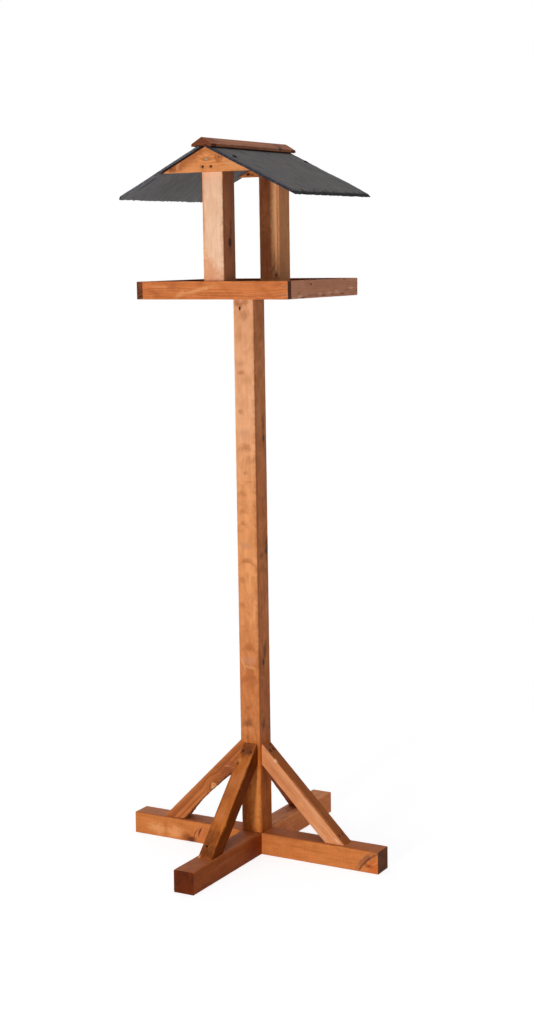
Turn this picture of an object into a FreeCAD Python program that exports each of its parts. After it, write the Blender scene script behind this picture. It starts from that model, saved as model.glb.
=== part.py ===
import FreeCAD, Part
import math
import os

# Bird table: a slate roofed feeding tray on a braced timber post.
# Millimetres, +Z up. The origin is on the ground, under the middle of the post.
# The ridge runs along Y, the front gable faces -Y and the slates fall to -X and +X.

Vector = FreeCAD.Vector

# Timber stock
timber_section = 45.0
timber_edge_radius = 2.0
board_thickness = 13.0
board_edge_radius = 0.8

# Base cross and post
beam_length = 564.0
lap_side_clearance = 0.2
post_length = 1075.0

# Braces: each runs out along its arm and up the post by the same reach
brace_reach = 184.0
brace_depth = 33.0
left_brace_reach = 190.0
left_brace_depth = 37.0
brace_width = 33.0
brace_edge_radius = 4.0

# Tray: four boards round a floor panel that sits in a groove
tray_width = 330.0
tray_depth = 285.0
tray_board_height = 34.0
floor_thickness = 9.0
floor_height_in_frame = 6.0
groove_depth = 4.0
groove_clearance = 0.3

# Uprights, gables and the rail between the uprights
upright_length = 255.5
upright_top_clearance = 0.5
roof_pitch = 26.0
gable_height = 47.0
gable_thickness = 18.0
rail_width = 34.0
rail_height = 35.0
rail_end_clearance = 0.2

# Slates, from their top edges beside the ridge to their eaves
slate_thickness = 5.0
slate_length = 207.5
slate_front_overhang = 14.5
slate_rear_overhang = 6.5
slate_setback = 8.0
slate_eave_thickness = 1.5
slate_bevel_width = 6.0

# Ridge cap: an inverted V that seats on the slates, with a tongue between them
cap_apex_height = 15.2
cap_half_width = 21.5
cap_rise = 12.5
cap_edge_height = 4.5
cap_seat_half_width = 16.5
tongue_clearance = 0.3
cap_front_overhang = 3.0
cap_rear_overhang = 4.0
cap_end_thickness = 18.0

# Screws: countersunk heads with a cross recess, sunk below the timber's face
hole_clearance = 0.1
screw_point_length = 4.0
recess_span = 0.55
recess_width = 0.14
recess_depth = 0.45
brace_screw_diameter = 4.0
brace_screw_head = 7.5
brace_screw_length = 37.0
brace_screw_sink = 1.0
brace_top_inset = 21.0
end_brace_foot_inset = 26.0
end_brace_top_spacing = 17.0
end_brace_foot_spacing = 11.0
side_brace_foot_inset = 21.5
side_brace_spacing = 12.0
frame_screw_diameter = 4.0
frame_screw_head = 7.5
frame_screw_length = 50.0
frame_screw_sink = 1.0
post_screw_spacing = 24.0
upright_screw_spacing = 22.0
gable_screw_spacing = 18.0
gable_screw_height = 9.3
rail_screw_length = 70.0
rail_screw_drop = 24.0
ridge_screw_length = 45.0
ridge_screw_spacing = 40.0

# Nails
tray_nail_diameter = 2.4
tray_nail_head = 4.6
tray_nail_head_height = 1.0
tray_nail_length = 38.0
tray_nail_low = 9.0
tray_nail_high = 23.5
slate_nail_diameter = 3.0
slate_nail_head = 8.0
slate_nail_head_height = 1.2
slate_nail_length = 24.0
slate_nail_distance = 59.0
slate_hole_clearance = 0.3

# Dowels that join the lengths of the ridge cap
dowel_diameter = 6.0
dowel_length = 28.0
dowel_depth_in_end = 12.0
dowel_height = 7.0
dowel_end_gap = 0.3

# Coach screw that pulls the post down on the cross, and its washer
coach_diameter = 8.0
coach_length = 100.0
coach_head_flats = 13.0
coach_head_height = 5.5
coach_head_sink = 1.5
washer_diameter = 24.0
washer_thickness = 2.0
washer_clearance = 1.0

# Levels and faces that follow from the sizes above
half_timber = timber_section / 2
cross_top = timber_section
floor_bottom = cross_top + post_length
floor_top = floor_bottom + floor_thickness
tray_bottom = floor_bottom - floor_height_in_frame
tray_top = tray_bottom + tray_board_height
outer_x = tray_width / 2
outer_y = tray_depth / 2
inner_x = outer_x - board_thickness
inner_y = outer_y - board_thickness
upright_centre = inner_y - half_timber
slope = math.radians(roof_pitch)
roof_apex = floor_top + upright_length + upright_top_clearance + half_timber * math.tan(slope)
gable_bottom = roof_apex - gable_height
gable_half_width = gable_height / math.tan(slope)
gable_face = inner_y + gable_thickness
rail_bottom = roof_apex - rail_height
rail_half_length = upright_centre - half_timber - rail_end_clearance
slate_front = -gable_face - slate_front_overhang
slate_rear = gable_face + slate_rear_overhang
cap_front = slate_front - cap_front_overhang
cap_rear = slate_rear + cap_rear_overhang
cap_middle_front = cap_front + cap_end_thickness
cap_middle_rear = cap_rear - cap_end_thickness
washer_bottom = coach_head_sink + coach_head_height
washer_top = washer_bottom + washer_thickness


# Solids

def box(x0, x1, y0, y1, z0, z1):
    """A block between two corners."""
    return Part.makeBox(x1 - x0, y1 - y0, z1 - z0, Vector(x0, y0, z0))


def prism_along_y(outline, y0, y1):
    """A solid whose section, a list of (x, z) points, runs from y0 to y1."""
    corners = [Vector(x, y0, z) for x, z in outline]
    face = Part.Face(Part.makePolygon(corners + corners[:1]))
    return face.extrude(Vector(0, y1 - y0, 0))


def revolved(profile):
    """A turned solid from (radius, height) points that start and end on the axis."""
    corners = [Vector(radius, 0, height) for radius, height in profile]
    face = Part.Face(Part.makePolygon(corners + corners[:1]))
    return face.revolve(Vector(0, 0, 0), Vector(0, 0, 1), 360)


def round_long_edges(shape, radius, run):
    """Round every straight edge that runs along the given direction."""
    chosen = []
    for edge in shape.Edges:
        line = edge.Vertexes[-1].Point - edge.Vertexes[0].Point
        if line.cross(run).Length < 1e-6 * line.Length * run.Length:
            chosen.append(edge)
    return shape.makeFillet(radius, chosen)


# Places: each is a point on a surface and the direction straight into it

def placed(item, place):
    """The item with its origin at the place's point and its -Z axis along the direction."""
    point, direction = place
    copy = item.copy()
    copy.Placement = FreeCAD.Placement(point, FreeCAD.Rotation(Vector(0, 0, -1), direction))
    return copy


def turned(places, degrees):
    """The places turned about the vertical axis of the post."""
    turn = FreeCAD.Rotation(Vector(0, 0, 1), degrees)
    return [(turn.multVec(point), turn.multVec(direction)) for point, direction in places]


def bored(shape, hole, places):
    """The shape with a hole at each place."""
    for place in places:
        shape = shape.cut(placed(hole, place))
    return shape


def set_of(item, places):
    """One of the item at each place, as separate solids of one node."""
    return Part.makeCompound([placed(item, place) for place in places])


def pair(spacing):
    """The two offsets of a pair of fasteners."""
    return (-spacing / 2, spacing / 2)


# Fasteners, which all point down and have the timber's surface at height 0

def screw_outline(diameter, head, length, sink, clearance):
    """The half section of a sunk countersunk screw, or of its hole."""
    shank = diameter / 2 + clearance
    rim = head / 2 + clearance
    return [
        (0, -sink),
        (rim, -sink),
        (shank, shank - rim - sink),
        (shank, screw_point_length - length),
        (0, -length - clearance),
    ]


def screw(diameter, head, length, sink):
    """A countersunk screw with a cross recess."""
    reach = head * recess_span / 2
    slot = head * recess_width / 2
    recess_floor = -sink - diameter * recess_depth
    body = revolved(screw_outline(diameter, head, length, sink, 0))
    body = body.cut(box(-reach, reach, -slot, slot, recess_floor, 0))
    return body.cut(box(-slot, slot, -reach, reach, recess_floor, 0))


def screw_hole(diameter, head, length, sink):
    """The hole of a countersunk screw, open above the surface."""
    outline = screw_outline(diameter, head, length, sink, hole_clearance)
    mouth = head / 2 + hole_clearance
    return revolved([(0, head), (mouth, head)] + outline[1:])


def nail(diameter, head, head_height, length, clearance):
    """A flat headed nail with its head on the surface, or its hole."""
    shank = diameter / 2 + clearance
    rim = head / 2 + clearance
    return revolved([
        (0, head_height),
        (rim, head_height),
        (rim, -clearance),
        (shank, -clearance),
        (shank, diameter - length),
        (0, -length - clearance),
    ])


brace_screw = (brace_screw_diameter, brace_screw_head, brace_screw_length, brace_screw_sink)
frame_screw = (frame_screw_diameter, frame_screw_head, frame_screw_length, frame_screw_sink)
rail_screw = (frame_screw_diameter, frame_screw_head, rail_screw_length, frame_screw_sink)
ridge_screw = (frame_screw_diameter, frame_screw_head, ridge_screw_length, frame_screw_sink)
tray_nail = (tray_nail_diameter, tray_nail_head, tray_nail_head_height, tray_nail_length)
slate_nail = (slate_nail_diameter, slate_nail_head, slate_nail_head_height, slate_nail_length)

post_screw_places = [
    (Vector(x, y, floor_top), Vector(0, 0, -1))
    for x in pair(post_screw_spacing)
    for y in pair(post_screw_spacing)
]

upright_screw_places = [
    (Vector(x, y, floor_bottom), Vector(0, 0, 1))
    for y in (-upright_centre, upright_centre)
    for x in pair(upright_screw_spacing)
]

gable_screw_places = [
    (Vector(x, side * gable_face, gable_bottom + gable_screw_height), Vector(0, -side, 0))
    for side in (-1, 1)
    for x in pair(gable_screw_spacing)
]

rail_screw_places = [
    (Vector(0, side * inner_y, roof_apex - rail_screw_drop), Vector(0, -side, 0))
    for side in (-1, 1)
]

ridge_screw_places = [
    (Vector(0, step * ridge_screw_spacing, rail_bottom), Vector(0, 0, 1))
    for step in (-1, 0, 1)
]

dowel_places = [
    (Vector(0, cap_middle_front - dowel_depth_in_end, roof_apex + dowel_height), Vector(0, 1, 0)),
    (Vector(0, cap_middle_rear + dowel_depth_in_end, roof_apex + dowel_height), Vector(0, -1, 0)),
]


def tray_nail_places():
    """Two nails at each corner, through the covering board into the end of the next."""
    edge = board_thickness / 2
    face_x = outer_x - tray_nail_head_height
    face_y = outer_y - tray_nail_head_height
    corners = [
        (outer_x - edge, -face_y, Vector(0, 1, 0)),
        (face_x, outer_y - edge, Vector(-1, 0, 0)),
        (edge - outer_x, face_y, Vector(0, -1, 0)),
        (-face_x, edge - outer_y, Vector(1, 0, 0)),
    ]
    heights = (tray_bottom + tray_nail_low, tray_bottom + tray_nail_high)
    return [(Vector(x, y, z), inward) for x, y, inward in corners for z in heights]


# Base cross

def coach_bore():
    """The stepped bore from the underside of the cross up into the post."""
    wide = Part.makeCylinder(washer_diameter / 2 + washer_clearance, washer_top)
    depth = washer_top + coach_length + hole_clearance
    return wide.fuse(Part.makeCylinder(coach_diameter / 2 + hole_clearance, depth))


def base_beam(lap_bottom, lap_top):
    """A beam along X, halved over the middle between two levels and bored for the coach screw."""
    end = beam_length / 2
    lap = half_timber + lap_side_clearance
    beam = box(-end, end, -half_timber, half_timber, 0, cross_top)
    beam = round_long_edges(beam, timber_edge_radius, Vector(1, 0, 0))
    return beam.cut(box(-lap, lap, -end, end, lap_bottom, lap_top)).cut(coach_bore())


def upper_beam():
    """The beam that lies over the other and carries the post, turned to run along Y."""
    beam = base_beam(0, cross_top / 2)
    beam.rotate(Vector(0, 0, 0), Vector(0, 0, 1), 90)
    return beam


def foot_washer():
    """The washer between the coach screw's head and the cross."""
    ring = Part.makeCylinder(washer_diameter / 2, washer_thickness, Vector(0, 0, washer_bottom))
    return ring.cut(Part.makeCylinder(coach_diameter / 2 + hole_clearance, washer_top))


def foot_coach_screw():
    """A hexagon headed screw, from under the cross into the foot of the post."""
    corner = coach_head_flats / math.sqrt(3)
    angles = [math.radians(60 * step) for step in range(7)]
    points = [Vector(corner * math.cos(a), corner * math.sin(a), coach_head_sink) for a in angles]
    head = Part.Face(Part.makePolygon(points)).extrude(Vector(0, 0, coach_head_height))
    radius = coach_diameter / 2
    end = washer_top + coach_length
    shank = revolved([
        (0, washer_bottom),
        (radius, washer_bottom),
        (radius, end - coach_diameter),
        (0, end),
    ])
    return head.fuse(shank).removeSplitter()


# Braces, each made over the +X arm and then turned to its own arm

brace_turns = {"right": 0, "rear": 90, "left": 180, "front": 270}


def brace_reach_and_depth(name):
    """How far a brace reaches along its arm and up the post, and how deep its timber is."""
    if name == "left":
        return left_brace_reach, left_brace_depth
    return brace_reach, brace_depth


def brace_screw_places(name):
    """Two places near the top and two near the foot, square to the sloping face."""
    if name in ("left", "right"):
        foot_inset = side_brace_foot_inset
        top_spacing = side_brace_spacing
        foot_spacing = side_brace_spacing
    else:
        foot_inset = end_brace_foot_inset
        top_spacing = end_brace_top_spacing
        foot_spacing = end_brace_foot_spacing
    reach = brace_reach_and_depth(name)[0]
    top = brace_top_inset / math.sqrt(2)
    foot = reach - foot_inset / math.sqrt(2)
    places = []
    for drop, spacing in ((top, top_spacing), (foot, foot_spacing)):
        for y in pair(spacing):
            point = Vector(half_timber + drop, y, cross_top + reach - drop)
            places.append((point, Vector(-1, 0, -1)))
    return turned(places, brace_turns[name])


def brace(name):
    """A brace cut level on its arm and upright on the post."""
    reach, depth = brace_reach_and_depth(name)
    cut = depth * math.sqrt(2)
    outline = [
        (half_timber, cross_top + reach),
        (half_timber + reach, cross_top),
        (half_timber + reach - cut, cross_top),
        (half_timber, cross_top + reach - cut),
    ]
    stick = prism_along_y(outline, -brace_width / 2, brace_width / 2)
    stick = round_long_edges(stick, brace_edge_radius, Vector(1, 0, -1))
    stick.rotate(Vector(0, 0, 0), Vector(0, 0, 1), brace_turns[name])
    return bored(stick, screw_hole(*brace_screw), brace_screw_places(name))


def bored_for_braces(shape):
    """The post or a beam, with the holes of the brace screws that reach it."""
    for name in brace_turns:
        shape = bored(shape, screw_hole(*brace_screw), brace_screw_places(name))
    return shape


# Post and uprights

def square_timber(centre_y, bottom, top):
    """A length of the square timber that stands upright, its long edges rounded."""
    stick = box(-half_timber, half_timber, centre_y - half_timber, centre_y + half_timber, bottom, top)
    return round_long_edges(stick, timber_edge_radius, Vector(0, 0, 1))


def post():
    """The post, which stands on the cross and carries the tray floor."""
    stick = square_timber(0, cross_top, floor_bottom).cut(coach_bore())
    return bored(stick, screw_hole(*frame_screw), post_screw_places)


def upright(side):
    """One upright, on the tray floor and against the inside of its end board."""
    stick = square_timber(side * upright_centre, floor_top, floor_top + upright_length)
    stick = bored(stick, screw_hole(*frame_screw), upright_screw_places + gable_screw_places)
    return bored(stick, screw_hole(*rail_screw), rail_screw_places)


# Tray

def tray_board(x0, x1, y0, y1):
    """One board of the frame, grooved for the floor and bored for its nails."""
    run = Vector(1, 0, 0) if x1 - x0 > y1 - y0 else Vector(0, 1, 0)
    board = round_long_edges(box(x0, x1, y0, y1, tray_bottom, tray_top), board_edge_radius, run)
    groove_x = inner_x + groove_depth
    groove_y = inner_y + groove_depth
    board = board.cut(box(-groove_x, groove_x, -groove_y, groove_y, floor_bottom, floor_top))
    return bored(board, nail(*tray_nail, hole_clearance), tray_nail_places())


def tray_floor():
    """The floor panel in the groove, screwed to the post and to the uprights."""
    reach = groove_depth - groove_clearance
    panel_x = inner_x + reach
    panel_y = inner_y + reach
    panel = box(-panel_x, panel_x, -panel_y, panel_y, floor_bottom, floor_top)
    return bored(panel, screw_hole(*frame_screw), post_screw_places + upright_screw_places)


# Roof

def roof_point(side, along, above):
    """A point of the roof's section: down the slope from the apex, then square out of it."""
    x = along * math.cos(slope) + above * math.sin(slope)
    z = above * math.cos(slope) - along * math.sin(slope)
    return side * x, roof_apex + z


def slate_nail_places(side):
    """Two nails of one slate, square to it, over the middle of each gable."""
    x, z = roof_point(side, slate_nail_distance, slate_thickness)
    inward = Vector(-side * math.sin(slope), 0, -math.cos(slope))
    gable_centre = inner_y + gable_thickness / 2
    return [(Vector(x, y, z), inward) for y in (-gable_centre, gable_centre)]


all_slate_nail_places = slate_nail_places(-1) + slate_nail_places(1)


def slate(side):
    """One slate, square along the ridge and bevelled from above along its eave."""
    eave = slate_setback + slate_length
    outline = [
        roof_point(side, slate_setback, 0),
        roof_point(side, eave, 0),
        roof_point(side, eave, slate_eave_thickness),
        roof_point(side, eave - slate_bevel_width, slate_thickness),
        roof_point(side, slate_setback, slate_thickness),
    ]
    plate = prism_along_y(outline, slate_front, slate_rear)
    radius = slate_nail_diameter / 2 + slate_hole_clearance
    hole = Part.makeCylinder(radius, slate_nail_length, Vector(0, 0, slate_thickness - slate_nail_length))
    return bored(plate, hole, slate_nail_places(side))


def gable(side):
    """One triangular gable board, on the outer face of its upright."""
    outline = [(-gable_half_width, gable_bottom), (gable_half_width, gable_bottom), (0, roof_apex)]
    near, far = sorted((side * inner_y, side * gable_face))
    board = prism_along_y(outline, near, far)
    board = bored(board, screw_hole(*frame_screw), gable_screw_places)
    return bored(board, nail(*slate_nail, hole_clearance), all_slate_nail_places)


def ridge_rail():
    """The peaked rail between the uprights, under the top edges of the slates."""
    half = rail_width / 2
    shoulder = roof_apex - half * math.tan(slope)
    outline = [
        (-half, rail_bottom),
        (half, rail_bottom),
        (half, shoulder),
        (0, roof_apex),
        (-half, shoulder),
    ]
    rail = prism_along_y(outline, -rail_half_length, rail_half_length)
    rail = bored(rail, screw_hole(*rail_screw), rail_screw_places)
    return bored(rail, screw_hole(*ridge_screw), ridge_screw_places)


def cap_outline():
    """The section of the ridge cap: apex, two wings that rest on the slates, and a tongue."""
    seat = roof_apex + slate_thickness / math.cos(slope)
    tongue = roof_point(1, slate_setback, 0)[0] - tongue_clearance
    apex = roof_apex + cap_apex_height
    edge_top = apex - cap_rise
    right = [
        (tongue, roof_apex),
        (tongue, seat - tongue * math.tan(slope)),
        (cap_seat_half_width, seat - cap_seat_half_width * math.tan(slope)),
        (cap_half_width, edge_top - cap_edge_height),
        (cap_half_width, edge_top),
        (0, apex),
    ]
    left = [(-x, z) for x, z in reversed(right[:-1])]
    return right + left


def cap_length(y0, y1):
    """One length of the cap, bored for its dowels and for the screws from the rail."""
    hole = Part.makeCylinder(
        dowel_diameter / 2 + hole_clearance,
        dowel_length + 2 * dowel_end_gap,
        Vector(0, 0, -dowel_length - dowel_end_gap),
    )
    piece = bored(prism_along_y(cap_outline(), y0, y1), hole, dowel_places)
    return bored(piece, screw_hole(*ridge_screw), ridge_screw_places)


# Nodes

t = board_thickness
dowel = Part.makeCylinder(dowel_diameter / 2, dowel_length, Vector(0, 0, -dowel_length))

nodes = {
    "base_beam_lower": bored_for_braces(base_beam(cross_top / 2, cross_top)),
    "base_beam_upper": bored_for_braces(upper_beam()),
    "foot_washer": foot_washer(),
    "foot_coach_screw": foot_coach_screw(),
    "post": bored_for_braces(post()),
    "tray_floor": tray_floor(),
    "tray_board_front": tray_board(t - outer_x, outer_x, -outer_y, t - outer_y),
    "tray_board_right": tray_board(outer_x - t, outer_x, t - outer_y, outer_y),
    "tray_board_rear": tray_board(-outer_x, outer_x - t, outer_y - t, outer_y),
    "tray_board_left": tray_board(-outer_x, t - outer_x, -outer_y, outer_y - t),
    "tray_nails": set_of(nail(*tray_nail, 0), tray_nail_places()),
    "post_head_screws": set_of(screw(*frame_screw), post_screw_places),
    "upright_front": upright(-1),
    "upright_rear": upright(1),
    "upright_foot_screws": set_of(screw(*frame_screw), upright_screw_places),
    "gable_front": gable(-1),
    "gable_rear": gable(1),
    "gable_screws": set_of(screw(*frame_screw), gable_screw_places),
    "ridge_rail": ridge_rail(),
    "rail_screws": set_of(screw(*rail_screw), rail_screw_places),
    "slate_left": slate(-1),
    "slate_right": slate(1),
    "slate_nails": set_of(nail(*slate_nail, 0), all_slate_nail_places),
    "ridge_cap": cap_length(cap_middle_front, cap_middle_rear),
    "ridge_end_front": cap_length(cap_front, cap_middle_front),
    "ridge_end_rear": cap_length(cap_middle_rear, cap_rear),
    "ridge_dowels": set_of(dowel, dowel_places),
    "ridge_screws": set_of(screw(*ridge_screw), ridge_screw_places),
}
for name in brace_turns:
    nodes["brace_" + name] = brace(name)
    nodes["brace_screws_" + name] = set_of(screw(*brace_screw), brace_screw_places(name))

os.makedirs("parts", exist_ok=True)
for name, shape in nodes.items():
    shape.exportStep("parts/" + name + ".step")
    print(name, len(shape.Solids), shape.isValid(), round(shape.Volume / 1000, 2))
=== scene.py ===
import math
import random
from collections import namedtuple

import bmesh
import bpy
from mathutils import Matrix, Vector, noise


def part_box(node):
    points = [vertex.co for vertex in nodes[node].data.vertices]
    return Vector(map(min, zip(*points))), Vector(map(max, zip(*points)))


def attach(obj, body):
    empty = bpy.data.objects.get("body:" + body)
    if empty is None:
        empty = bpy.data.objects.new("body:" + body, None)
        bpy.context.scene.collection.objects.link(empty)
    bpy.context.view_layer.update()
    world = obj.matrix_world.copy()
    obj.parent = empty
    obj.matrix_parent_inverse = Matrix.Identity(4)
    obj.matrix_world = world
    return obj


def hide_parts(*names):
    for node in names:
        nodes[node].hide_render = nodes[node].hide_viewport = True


# Bird table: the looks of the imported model. Metres, in the model's own frame.
# Sizes of grain, knots, chips and marks are millimetres.

MM = 0.001

# Camera, as fitted to the corners of the beams, post, tray and roof
IMAGE_HEIGHT = 1024
FOCAL_PIXELS = 1765.9
SENSOR = 36.0
CAMERA_AZIMUTH = math.radians(29.557)
CAMERA_ELEVATION = math.radians(8.442)
CAMERA_ROLL = math.radians(0.864)
CAMERA_DISTANCE = 3.4857
CAMERA_TARGET = Vector((0.0254, 0.0144, 0.69264))

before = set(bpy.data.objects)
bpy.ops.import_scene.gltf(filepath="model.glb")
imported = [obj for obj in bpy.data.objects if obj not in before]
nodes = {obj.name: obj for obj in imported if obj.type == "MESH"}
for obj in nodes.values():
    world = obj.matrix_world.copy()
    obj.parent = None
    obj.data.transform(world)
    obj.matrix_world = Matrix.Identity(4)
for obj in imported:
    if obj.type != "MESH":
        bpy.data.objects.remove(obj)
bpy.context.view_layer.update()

X = RIGHT = Vector((1, 0, 0))
Y = REAR = Vector((0, 1, 0))
Z = TOP = Vector((0, 0, 1))
LEFT = -X
FRONT = -Y


def rgb(red, green, blue):
    """A colour written as it looks on screen, as the linear values that a shader takes."""
    def linear(level):
        share = level / 255
        return share / 12.92 if share < 0.04045 else ((share + 0.055) / 1.055) ** 2.4
    return (linear(red), linear(green), linear(blue), 1.0)


def scaled(colour, red, green, blue):
    """A colour with each of its parts made stronger or weaker."""
    return (min(colour[0] * red, 1.0), min(colour[1] * green, 1.0), min(colour[2] * blue, 1.0), 1.0)


# Material graphs

class Field:
    """A value that varies over a surface. Arithmetic on it adds math nodes."""

    def __init__(self, graph, socket):
        self.graph = graph
        self.socket = socket

    def __add__(self, other):
        return self.graph.math("ADD", self, other)

    def __sub__(self, other):
        return self.graph.math("SUBTRACT", self, other)

    def __rsub__(self, other):
        return self.graph.math("SUBTRACT", other, self)

    def __mul__(self, other):
        return self.graph.math("MULTIPLY", self, other)

    def __truediv__(self, other):
        return self.graph.math("DIVIDE", self, other)

    def __abs__(self):
        return self.graph.math("ABSOLUTE", self)


class Graph:
    """The node graph of a material or a world."""

    def __init__(self, owner):
        owner.use_nodes = True
        self.owner = owner
        self.nodes = owner.node_tree.nodes
        self.links = owner.node_tree.links
        self.nodes.clear()

    def add(self, kind, inputs, **settings):
        """A node whose inputs take numbers, colours or fields."""
        node = self.nodes.new(kind)
        for key, value in settings.items():
            setattr(node, key, value)
        for key, value in inputs.items():
            if isinstance(value, Field):
                self.links.new(value.socket, node.inputs[key])
            else:
                node.inputs[key].default_value = value
        return node

    def out(self, kind, inputs, output=0, **settings):
        """The field that such a node gives."""
        return Field(self, self.add(kind, inputs, **settings).outputs[output])

    def math(self, operation, *values):
        return self.out("ShaderNodeMath", dict(enumerate(values)), operation=operation)

    def length(self, a, b):
        return self.math("SQRT", a * a + b * b)

    def vector(self, x, y, z):
        return self.out("ShaderNodeCombineXYZ", {0: x, 1: y, 2: z})

    def parts(self, vector):
        """A vector's three parts."""
        node = self.add("ShaderNodeSeparateXYZ", {0: vector})
        return [Field(self, output) for output in node.outputs]

    def size(self, vector):
        return self.out("ShaderNodeVectorMath", {0: vector}, "Value", operation="LENGTH")

    def dot(self, vector, axis):
        inputs = {0: vector, 1: tuple(axis)}
        return self.out("ShaderNodeVectorMath", inputs, "Value", operation="DOT_PRODUCT")

    def noise(self, vector, detail=2.0, roughness=0.5, distortion=0.0, scale=1.0):
        """Noise about zero, mostly between -0.25 and 0.25."""
        inputs = {"Vector": vector, "Scale": scale, "Detail": detail}
        inputs.update({"Roughness": roughness, "Distortion": distortion})
        return self.out("ShaderNodeTexNoise", inputs, "Fac") - 0.5

    def ramp(self, value, low, high, top=1.0):
        """A smooth step from 0 at low to the top at high, where low may be the larger."""
        start, end, first, last = (low, high, 0.0, top) if low < high else (high, low, top, 0.0)
        inputs = {"Value": value, "From Min": start, "From Max": end, "To Min": first, "To Max": last}
        return self.out("ShaderNodeMapRange", inputs, "Result", interpolation_type="SMOOTHSTEP")

    def mix(self, factor, a, b):
        return self.out("ShaderNodeMix", {0: factor, 6: a, 7: b}, 2, data_type="RGBA")

    def place(self, axis):
        """The distance along an axis of the object, in millimetres."""
        return self.dot(self.out("ShaderNodeTexCoord", {}, "Object"), axis) / MM

    def facing(self, axis):
        """How squarely the surface faces along an axis, from -1 to 1."""
        return self.dot(self.out("ShaderNodeTexCoord", {}, "Normal"), axis)

    def surface(self, colour, roughness, height, bump, gloss, metallic=0.0):
        """Finish the material: height is in millimetres, and bump is its strength."""
        ridges = self.out("ShaderNodeBump", {"Height": height, "Distance": MM, "Strength": bump})
        inputs = {"Base Color": colour, "Roughness": roughness, "Normal": ridges}
        inputs.update({"Metallic": metallic, "Specular IOR Level": gloss})
        shader = self.out("ShaderNodeBsdfPrincipled", inputs)
        self.add("ShaderNodeOutputMaterial", {"Surface": shader})
        return self.owner


def new_graph(name):
    return Graph(bpy.data.materials.new(name))


# Wood. A timber has three axes, the first along its grain. Knots and marks have a place, which is a
# point and the face's direction. A knot's pull is how far it bends the grain, in its own radii.
# A mark's length and width are halves, and its turn is in degrees from the grain. Its bow is how far
# its ends curve, in half widths, and its edge sharpens one of its sides.
# A shade is a timber's mean colour, and how far its tones spread about it where that isn't 1.
# A zone is a shade, the face that has it (None for all), and where along the timber it sets in.

Stick = namedtuple("Stick", "centre axes")
Tone = namedtuple("Tone", "light dark red")
Knot = namedtuple("Knot", "place radius stretch colour rim pull", defaults=(1.3, None, None, 2.4))
Mark = namedtuple("Mark", "place length width colour strength turn bow edge", defaults=(0.0, 0.0, 1.0))

TONE_CHANGES = Tone((0.22, 0.28, 0.36), (-0.22, -0.30, -0.40), (-0.04, -0.18, -0.28))
GRAIN_LEAN = (0.012, -0.008)
SAW_RIBS = 1.68
MARK_DEPTH = 7.0
BLACK_KNOT = rgb(38, 26, 24)
RED_KNOT = rgb(120, 58, 28)
KNOT_SHADOW = (0.03, 0.012, 0.006, 1)
WOOD_BUMP = 0.6


def tone(red, green, blue, spread=1.0):
    """The light, dark and reddish tones of a shade."""
    base = rgb(red, green, blue)
    return Tone(*(scaled(base, *(1 + part * spread for part in change)) for change in TONE_CHANGES))


def square_stick(node, grain):
    """The axes of a timber that lies square in the frame."""
    low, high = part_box(node)
    others = [axis for axis in (X, Y, Z) if axis != grain]
    return Stick((low + high) / 2 / MM, (grain, *others))


def brace_stick(node, out):
    """The axes of a diagonal brace: up along it, square out of its slanted face, and across."""
    low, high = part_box(node)
    return Stick((low + high) / 2 / MM, ((Z - out).normalized(), (Z + out).normalized(), Z.cross(out)))


def flat_face(node, normal):
    """Places on a face that lies square in the frame, by their two other coordinates."""
    low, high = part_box(node)
    axis = max(range(3), key=lambda i: abs(normal[i]))
    level = (high if normal[axis] > 0 else low)[axis] / MM

    def at(a, b):
        point = [a, b]
        point.insert(axis, level)
        return Vector(point), normal
    return at


def slanted_face(node, out):
    """Places on the outer face of a brace, by their distance to one side and their height."""
    low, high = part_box(node)
    inner = min(abs(low.dot(out)), abs(high.dot(out))) / MM

    def at(across, height):
        distance = inner + high.z / MM - height
        return out * distance + Z * height + Z.cross(out) * across, (Z + out).normalized()
    return at


def about(g, spot, stick, here, along, across, below, turn=0.0):
    """The way from a spot in three units: along the grain, across it, and below the spot's face."""
    point, normal = spot.place
    offset = point - stick.centre
    into = max((1, 2), key=lambda i: abs(normal.dot(stick.axes[i])))
    units = [along, across, across]
    units[into] = below
    rotation = [0.0, 0.0, 0.0]
    rotation[into] = math.radians(turn if into == 2 else -turn)
    origin = [offset.dot(axis) for axis in stick.axes]
    inputs = {"Vector": here, "Location": origin, "Rotation": rotation, "Scale": units}
    return g.out("ShaderNodeMapping", inputs, vector_type="TEXTURE")


def knot_fields(g, here, ragged, stick, knot):
    """One knot: its core, the bend of the grain around it, its stain and its colour."""
    size = knot.radius
    way = about(g, knot, stick, here, size * knot.stretch, size, 3 * size)
    reach = g.size(way) + ragged
    core = g.ramp(reach, 1.12, 0.88)
    bend = g.ramp(reach, 4.5, 0.0, knot.pull * size)
    way = about(g, knot, stick, here, 3.4 * size * knot.stretch, 1.6 * size, 3 * size)
    stain = g.ramp(g.size(way), 1.5, 0.3)
    rings = g.math("SINE", reach * (9.0 * size / (size + 1.5))) * 0.4 + 0.5
    inner = knot.colour or RED_KNOT
    colour = g.mix(rings, inner, scaled(inner, 0.62, 0.56, 0.52))
    colour = g.mix(g.ramp(abs(reach - 0.95), 0.24, 0.06, 0.8), colour, knot.rim or BLACK_KNOT)
    return core, bend, stain, colour


def mark_field(g, here, stick, mark, wander):
    """Where a soft mark lies: an uneven oval, bowed and sharper on one side if it says so."""
    way = about(g, mark, stick, here, mark.length, mark.width, MARK_DEPTH, mark.turn)
    if mark.bow or mark.edge != 1.0:
        run, first, second = g.parts(way)
        rest = first * first + second * second
        run = run + rest * (mark.bow * mark.width / mark.length)
        if mark.edge != 1.0:
            run = g.math("MAXIMUM", run, run * -mark.edge)
        reach = g.math("SQRT", run * run + rest)
    else:
        reach = g.size(way)
    return g.ramp(reach + wander, 1.3, 0.2, mark.strength)


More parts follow.
